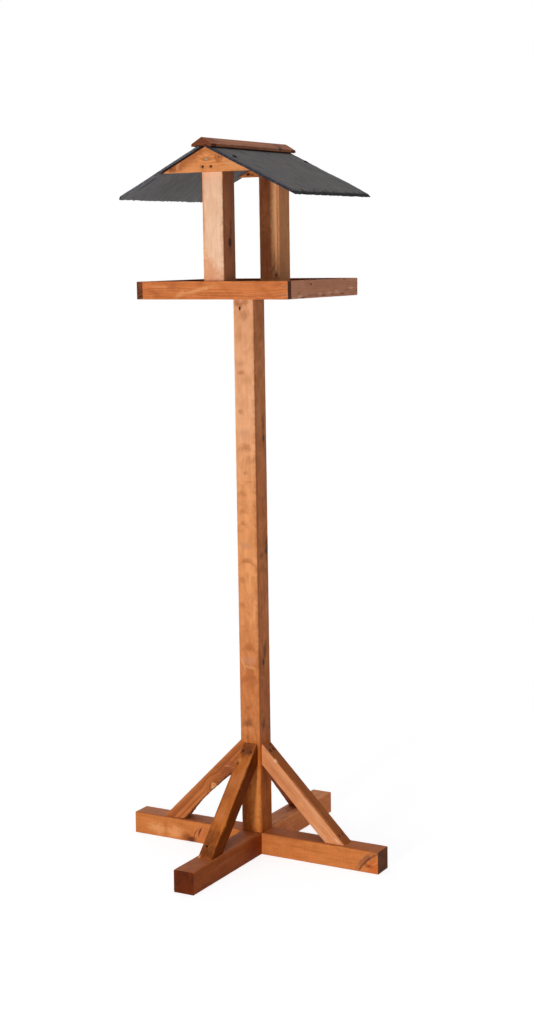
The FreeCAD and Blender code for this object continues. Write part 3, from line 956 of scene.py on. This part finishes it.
def upper_beam_look():
    """The front to back beam: redder and darker in front of the post than behind it."""
    node = "base_beam_upper"
    knots = scattered(node, LEFT, 3, random.Random(8))
    marks = marks_on(
        flat_face(node, RIGHT), (-52, 20, 36, 34, (126, 50, 14), 0.8), (-242, 8, 18, 4, (112, 50, 24), 0.6),
        (-150, 3, 130, 8, (138, 66, 26), 0.7), (-150, 30, 60, 5, (190, 108, 54), 0.35),
    ) + marks_on(
        flat_face(node, TOP), (-6, -100, 80, 10, (134, 70, 28), 0.7),
        # A lighter strip along the top's right edge, partly wear and partly a painted highlight
        (15, -110, 120, 7, (178, 104, 58), 0.7),
    )
    zones = ((203, 130, 83), None, 0, 40), ((225, 137, 81), RIGHT, 0, 40), ((152, 80, 35), TOP, 10, -10)
    dress(node, square_stick(node, Y), (153, 75, 25), zones, knots, marks, pith=(-34.0, -60.0),
          figure=0.22, ribs=0.5, mottle=1.1, seed=17.0, end=(1.0, 1.0, 0.45), worn={"wear": 0.6})


def upright_looks():
    """The uprights: the front one bare and peach coloured in front, partly from a painted sheen; the rear
    one lightened with painted light where it is shaded, and with a pale band, part sapwood and part painted
    light.
    """
    node = "upright_front"
    front = flat_face(node, FRONT)
    right = flat_face(node, RIGHT)
    knots = knots_on(right, (-105.5, 1219, 5.2, 1.5, (92, 52, 38), (50, 26, 20)))
    knots += scattered(node, LEFT, 1, random.Random(4))
    marks = marks_on(
        front, (-21.5, 1255, 140, 5, (222, 142, 92), 0.8), (-15.5, 1198, 14, 6.0, (255, 212, 170), 0.7),
        (-15.5, 1200, 10, 3.6, (234, 162, 112), 0.8), (-15.5, 1202, 6, 1.8, (255, 214, 176), 0.8),
        (-15, 1170, 14, 3.6, (255, 208, 164), 0.7), (-15, 1166, 7, 1.4, (234, 162, 112), 0.7),
        (-16, 1288, 18, 2.6, (255, 212, 168), 0.7),
    ) + marks_on(right, (-102, 1244, 22, 5, (124, 66, 44), 0.7)) + marks_on(
        front, (-8, 1158, 46, 22, (226, 150, 104), 0.75, -24), (12, 1210, 12, 10, (250, 206, 176), 0.6),
        (14, 1146, 30, 12, (226, 158, 122), 0.5),
    ) + marks_on(right, (-126, 1250, 130, 4, (150, 88, 54), 0.6))
    # The front face's pale peach is partly its stain and partly a painted sheen
    zones = ((250, 197, 162, 0.7), FRONT), ((170, 104, 66), RIGHT, 1170, 1140)
    dress(node, square_stick(node, Z), (196, 122, 82), zones, knots, marks, pith=(70.0, 30.0),
          figure=0.12, ribs=0.6, seed=23.0, worn={"wear": 0.6})

    node = "upright_rear"
    front = flat_face(node, FRONT)
    knots = knots_on(front, (15.0, 1155, 2.2, 1.2, (170, 98, 62), (120, 66, 40)))
    knots += scattered(node, REAR, 2, random.Random(9))
    marks = marks_on(
        # The first mark, a pale band down the front's right side, is part sapwood and part painted light
        # passing beside the front upright
        front, (12.5, 1255, 190, 9.5, (255, 188, 132), 0.9), (18.5, 1270, 120, 1.8, (190, 110, 68), 0.8),
        (11.0, 1180, 60, 1.6, (180, 100, 60), 0.6), (21.5, 1158, 7, 1.6, (255, 206, 160), 0.8),
        (8.0, 1168, 16, 2.0, (168, 92, 56), 0.7, 24), (-4, 1345, 40, 12, (170, 98, 60), 0.6),
    )
    # The front and right faces are lightened as painted light, where the front upright and the slates shade
    # them
    zones = ((238, 148, 95, 1.2), FRONT), ((252, 168, 112, 0.8), RIGHT)
    dress(node, square_stick(node, Z), (200, 124, 80), zones, knots, marks, pith=(-20.0, -70.0),
          figure=0.2, ribs=1.4, seed=29.0, worn={"wear": 0.6})


def gable_looks():
    """The gables: lively grain round small knots in front."""
    node = "gable_front"
    front = flat_face(node, FRONT)
    knots = knots_on(
        front, (-0.4, 1372.0, 2.8, 1.3, (214, 184, 142), (108, 72, 48)),
        (26.2, 1375.0, 1.7, 1.0, (140, 104, 76), (120, 70, 44)),
        (-78.5, 1356, 2.2, 1.3, (176, 98, 60), (118, 60, 34)),
    )
    brown = (184, 100, 48)
    marks = marks_on(
        front, (58, 1362, 30, 9, (246, 172, 116), 0.55, -20), (-30, 1376, 40, 7, (190, 108, 60), 0.8, 29),
        (-36, 1366, 26, 2.2, (206, 124, 70), 0.6, 16), (19.4, 1375.4, 4.0, 6.0, brown, 0.75),
        (32.0, 1374.5, 3.2, 6.0, brown, 0.65), (25.3, 1367.6, 6.5, 4.6, brown, 0.8),
        (-72, 1357, 26, 9, (172, 96, 56), 0.9), (-64, 1359, 3.5, 8, (240, 170, 116), 0.6),
        (-56, 1361, 2.4, 10, (184, 104, 58), 0.75, -12, -0.3),
        (-46, 1364, 2.0, 10, (200, 120, 68), 0.6, -20, -0.3), (-26, 1357, 20, 5, (238, 160, 102), 0.5),
    )
    dress(node, square_stick(node, X), (227, 145, 85), (), knots, marks, pith=(8.0, -26.0), ring=6.5,
          figure=0.34, ribs=0.3, mottle=1.1, seed=31.0)

    node = "gable_rear"
    front = flat_face(node, FRONT)
    knots = knots_on(front, (-72, 1354.5, 2.6, 1.6, (74, 38, 24)))
    knots += knots_on(flat_face(node, REAR), (18, 1368, 3.4, 1.3), (-42, 1358, 2.6, 1.3))
    marks = marks_on(
        # The first mark is a painted shadow along the upper left edge, under the slate
        front, (-78, 1357.5, 28, 1.8, (56, 28, 18), 0.9, 26), (-62, 1353, 5, 2.4, (96, 48, 28), 0.8, 30),
    )
    dress(node, square_stick(node, X), (206, 126, 72), (), knots, marks, pith=(-6.0, 22.0), ring=5.0,
          figure=0.25, ribs=0.4, seed=37.0)


def tray_looks():
    """The tray: an orange front board, a greyer scuffed right one, and inner faces darkened with painted
    shade.
    """
    # The boards' inner faces take a darker tone: painted shade inside the tray
    painted_inner_shade = (128, 72, 48)
    node = "tray_board_front"
    pale = (232, 158, 100)
    thin = (172, 90, 46)
    brown = (182, 100, 56)
    marks = marks_on(
        flat_face(node, FRONT), (-28, 1131.5, 42, 4.4, pale, 0.75, 13), (-70, 1122, 16, 6, pale, 0.55, 35),
        (-112, 1138, 24, 3, pale, 0.5), (-126, 1128, 14, 8, (176, 98, 54), 0.65, -30),
        (-86, 1137, 14, 6, (184, 104, 60), 0.65, 20), (20, 1121, 60, 1.6, thin, 0.75),
        (30, 1126, 70, 1.4, thin, 0.65, 1), (110, 1121, 40, 3, brown, 0.5, 2),
        (60, 1140, 70, 4, (214, 130, 76), 0.5), (-60, 1119, 26, 2, brown, 0.5, 4),
        (104, 1140, 8, 2.4, (190, 112, 70), 0.5),
    )
    knots = scattered(node, REAR, 1, random.Random(2))
    zones = (painted_inner_shade, REAR), ((207, 120, 66), FRONT)
    dress(node, square_stick(node, X), (200, 120, 72), zones, knots, marks, pith=(6.0, -30.0), ring=6.5,
          figure=0.34, ribs=0.5, mottle=1.1, seed=41.0, end=(0.34, 0.34, 0.34),
          worn={"wear": 0.35, "soft": 2.5, "slot": "tray_board"})

    node = "tray_board_right"
    right = flat_face(node, RIGHT)
    scuff = (240, 190, 160)
    torn = (84, 48, 36)
    marks = marks_on(
        right, (-96, 1118.5, 12, 2.4, scuff, 0.8), (-72, 1120, 6, 1.6, scuff, 0.5),
        (-17, 1121, 8, 3, scuff, 0.7), (20, 1122, 14, 1.8, scuff, 0.5), (52, 1123, 10, 2, scuff, 0.6),
        (112, 1129, 14, 2.2, scuff, 0.8), (88, 1124, 8, 1.6, (150, 96, 74), 0.7),
        (-119, 1116.5, 7, 2, scuff, 0.6), (-40, 1119, 40, 2.5, (160, 104, 82), 0.6),
        (60, 1140, 60, 4, (190, 130, 102), 0.5), (84, 1146, 5, 2, (110, 66, 50), 0.7),
        (-84, 1115.5, 8, 1.6, torn, 0.8), (-2, 1118, 9, 1.6, (88, 50, 38), 0.8),
        (36, 1118.5, 8, 1.4, (92, 54, 42), 0.7), (74, 1119, 9, 1.6, torn, 0.8),
        (98, 1126, 12, 1.4, (104, 62, 48), 0.7),
    )
    knots = knots_on(right, (-52.4, 1140, 1.8, 1.3, (130, 82, 64)), (-100, 1124, 1.2, 1.3, (140, 90, 70)))
    zones = ((207, 141, 109, 0.8), RIGHT), (painted_inner_shade, LEFT)
    low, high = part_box(node)
    bottom, top = low.z / MM, high.z / MM
    chips = [(Vector((high.x / MM, y, z)), half, depth) for y, z, half, depth in (
        (84, top, 5, 2.0), (-96, bottom, 12, 1.3), (-17, bottom, 9, 1.2), (50, bottom, 12, 1.0),
        (110, bottom, 8, 1.5), (-60, top, 6, 0.8),
    )]
    dress(node, square_stick(node, Y), (150, 84, 54), zones, knots, marks, pith=(12.0, 40.0), ring=5.0,
          figure=0.16, ribs=0.6, seed=43.0,
          worn={"wear": 0.6, "soft": 2.8, "chips": chips, "step": 3.0, "slot": "tray_board"})

    for name, grain, outer_face, inner_face in (("rear", X, REAR, FRONT), ("left", Y, LEFT, RIGHT)):
        node = "tray_board_" + name
        knots = scattered(node, outer_face, 2, random.Random(len(name)))
        dress(node, square_stick(node, grain), (198, 118, 68), ((painted_inner_shade, inner_face),), knots,
              pith=(9.0, -34.0), ring=5.5, figure=0.25, ribs=0.6, seed=47.0 + len(name),
              end=(0.8, 1.0, 1.6), worn={"wear": 0.4, "soft": 2.5, "slot": "tray_board"})

    node = "tray_floor"
    dress(node, square_stick(node, X), (122, 74, 48), pith=(90.0, -60.0), ring=9.0, figure=0.3,
          ribs=0.1, seed=53.0)


def front_brace_look():
    """The front brace: dark brown, darker still at its head, with a light chip below that."""
    node = "brace_front"
    stick = brace_stick(node, FRONT)
    slant = slanted_face(node, FRONT)
    right = flat_face(node, RIGHT)
    marks = marks_on(
        slant, (0, 216, 34, 26, (122, 65, 33), 1.0, 0, 0, 2.2), (-9, 199, 5, 4, (214, 140, 86), 0.8),
        (4, 201, 4, 5, (190, 118, 66), 0.5), (-14, 130, 110, 4, (136, 70, 34), 0.5),
        (12, 180, 60, 4, (200, 120, 64), 0.5), (2, 168, 24, 14, (196, 118, 72), 0.5),
        (-5, 146, 22, 11, (150, 84, 48), 0.5), (-2, 115, 20, 13, (208, 126, 72), 0.65),
        (-4, 74, 28, 20, (124, 64, 28), 0.85), (14, 100, 20, 4, (208, 120, 52), 0.65),
        (9, 82, 16, 1.6, (96, 48, 20), 0.6, 8), (0, 54, 20, 24, (104, 50, 20), 0.85),
        (-13, 47, 5, 3.5, (226, 146, 90), 0.9),
    ) + marks_on(right, (-58, 186, 14, 6, (84, 36, 12), 0.8))
    knots = knots_on(slant, (-9.9, 194.5, 2.0, 1.2, (112, 60, 36), (92, 48, 32)))
    knots += knots_on(right, (-46, 196, 2.0, 2.0, (60, 28, 14)))
    zones = ((186, 105, 47, 1.2), stick.axes[1]), ((112, 48, 0), RIGHT)
    dress(node, stick, (170, 94, 46), zones, knots, marks, pith=(40.0, 30.0), figure=0.12, ribs=0.6,
          mottle=1.3, seed=59.0, gloss=0.06, worn=BRACE_WEAR)


def left_brace_look():
    """The left brace: a swirl knot, strong grain round it, and a wane along its lower edge."""
    node = "brace_left"
    stick = brace_stick(node, LEFT)
    front = flat_face(node, FRONT)
    swirl = Knot(front(-91.6, 127.5), 5.6, 1.2, rgb(240, 166, 100), rgb(168, 94, 48), pull=3.6)
    knots = [swirl] + knots_on(flat_face(node, REAR), (-100, 118, 4.0, 1.2))
    marks = marks_on(
        front, (-56, 160, 36, 24, (150, 80, 44), 0.85), (-58, 172, 10, 1.8, (214, 136, 88), 0.7, -38),
        (-46, 170, 7, 1.6, (204, 128, 86), 0.5, -20), (-126, 104, 46, 7, (208, 122, 66), 0.4),
        (-150, 74, 40, 3.0, (172, 96, 48), 0.6, 4), (-122, 87.5, 44, 2.2, (112, 56, 28), 0.7),
        (-72, 137, 30, 2.6, (84, 44, 26), 0.85),
    )
    chip = marks_on(front, (-95, 122, 4.5, 2.6, (226, 186, 124), 0.9, -20))
    zones = ((190, 110, 58, 1.1), FRONT), ((190, 110, 56), stick.axes[1])
    material = wood(node, stick, (170, 96, 54), zones, knots, marks, chip, pith=(16.0, 34.0), ring=12.0,
                    figure=0.7, ribs=0.3, seed=61.0, gloss=0.1)
    chips = scallops(random.Random(21), -100, 100, spacing=4.0, depth=2.4)
    bm = sliced(node, stick, step=2.4, levels=(-31.0, -25.0, -19.0))
    rub_edges(bm, stick, wear=0.6, soft=5.0, chips=(), seed=7.0, ends=False)
    wane(bm, stick, chips, ((-100, 3.0), (-70, 8.0), (-20, 10.0), (10, 8.0), (35, 4.5), (55, 2.0)))
    shade_smooth(bm)
    add_piece("waney_brace_left", bm, material, "timber", node)


def right_brace_look():
    """The right brace: pale peach at the side with fine fibres, browner on its slanted face."""
    node = "brace_right"
    stick = brace_stick(node, RIGHT)
    slant = slanted_face(node, RIGHT)
    marks = marks_on(
        flat_face(node, FRONT), (52.6, 196.9, 5, 3.4, (244, 190, 144), 0.9),
        (120, 120, 110, 5, (240, 178, 132), 0.5), (150, 62, 30, 9, (238, 170, 124), 0.7),
        (190, 52, 9, 3, (246, 196, 152), 0.7), (60, 165, 46, 7, (198, 118, 74), 0.55),
        (100, 138, 60, 2.2, (196, 114, 70), 0.5),
    ) + marks_on(
        slant, (0, 216, 16, 18, (140, 78, 46), 0.7), (6, 120, 70, 7, (160, 92, 52), 0.4),
        (-12, 120, 90, 3, (222, 142, 90), 0.5),
    )
    knots = knots_on(slant, (6, 222, 2.2, 1.3, (90, 48, 30)))
    zones = ((227, 148, 96, 0.9), FRONT), ((158, 85, 37), stick.axes[1])
    dress(node, stick, (184, 106, 60), zones, knots, marks, pith=(50.0, 26.0), ribs=0.4, seed=67.0,
          worn=BRACE_WEAR)


def rear_brace_look():
    """The rear brace, mostly out of sight."""
    node = "brace_rear"
    knots = knots_on(slanted_face(node, REAR), (4, 140, 4.2, 1.4), (-7, 82, 2.6, 1.3))
    dress(node, brace_stick(node, REAR), (176, 98, 54), (), knots, pith=(30.0, -30.0), figure=0.2,
          ribs=0.5, seed=71.0, worn=BRACE_WEAR)


def ridge_looks():
    """The ridge cap's three lengths in dark brown, and the rail under it."""
    node = "ridge_cap"
    top_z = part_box(node)[1].z / MM

    def slope(x, y):
        """A place on the cap's right slope."""
        return Vector((x, y, top_z - CAP_SLOPE * x)), TOP
    knots = knots_on(slope, (6, 100, 2.4, 1.4, (128, 90, 70), (56, 34, 28)))
    marks = marks_on(
        # The first mark is painted shade just behind the front end piece, and the third a painted highlight
        # along the cap's upper edge
        slope, (10, -140, 12, 14, (84, 46, 32), 0.85), (20, 0, 150, 2.0, (96, 58, 42), 0.7),
        (8, -20, 100, 3.5, (164, 114, 88), 0.6), (4, 60, 60, 1.6, (110, 68, 50), 0.6),
        (17, -60, 70, 1.6, (158, 106, 78), 0.5), (12, 104, 16, 14, (92, 54, 40), 0.5),
    )
    # The second is painted shade in the gap between the cap and the rear end piece
    cracks_and_gap_shade = marks_on(slope, (8, 110, 9, 4, (72, 52, 44), 0.9, 42), (18, 101, 15, 4, (14, 8, 7), 1.0, -29))
    dress(node, square_stick(node, Y), (135, 85, 61, 1.1), (((156, 100, 72), RIGHT),), knots, marks,
          cracks_and_gap_shade, pith=(-8.0, -40.0), ring=5.0, figure=0.3, ribs=0.1, seed=73.0, gloss=0.06)
    stain = marks_on(slope, (8, 148, 9, 5, (96, 62, 46), 0.6))
    ends = ("front", (118, 66, 42), (), 79.0), ("rear", (137, 89, 66), stain, 83.0)
    for name, shade, marks, seed in ends:
        node = "ridge_end_" + name
        zones = ((116, 63, 40), FRONT), ((156, 102, 76), RIGHT)
        dress(node, square_stick(node, X), shade, zones, (), marks, pith=(-4.0, -50.0), figure=0.2,
              ribs=0.2, seed=seed, gloss=0.06)
    node = "ridge_rail"
    dress(node, square_stick(node, Y), (186, 110, 64), figure=0.2, seed=89.0)


post_look()
lower_beam_look()
upper_beam_look()
upright_looks()
gable_looks()
tray_looks()
front_brace_look()
left_brace_look()
right_brace_look()
rear_brace_look()
ridge_looks()

left_roof = RoofSide(
    "left", -1, front_wear=((0, 1), (100, 3), (160, 6), (208, 5), (216, 9)),
    rear_wear=((0, 2), (216, 6)),
    edge=((62, 62, 68), (122, 123, 130)), cleft=(-147.0, 0.136, 122.0, 180.0),
)
right_roof = RoofSide(
    "right", 1, front_wear=((0, 0), (216, 0.5)),
    rear_wear=((0, 1), (60, 1.5), (100, 4.5), (132, 2), (155, 0), (185, 5), (216, 10)),
    edge=((32, 32, 37), (78, 79, 88)),
)
for seed, side in ((11, left_roof), (12, right_roof)):
    slate = slate_mesh(side, random.Random(seed))
    add_piece("riven_slate_" + side.name, slate, slate_material(side), "slate", "slate_" + side.name)

paint(metal("black_nail", (16, 16, 18), 0.85, gloss=0.02), "slate_nails")
paint(metal("tray_nail", (178, 140, 112), 0.6, 0.1, stained=(120, 74, 52)), "tray_nails")
paint(metal("dowel", (200, 170, 130), 0.7), "ridge_dowels")
paint(
    metal("screw", (120, 108, 90), 0.5, 0.7), "foot_washer", "foot_coach_screw",
    "post_head_screws", "upright_foot_screws", "rail_screws", "ridge_screws",
)
paint(gable_screw_material(), "gable_screws")
paint(front_screw_material(), "brace_screws_front")
paint(
    metal("stained_brace_screw", (206, 126, 76), 0.7, gloss=0.1),
    "brace_screws_rear", "brace_screws_left",
)
paint(metal("stained_right_screw", (104, 56, 32), 0.7, gloss=0.1), "brace_screws_right")
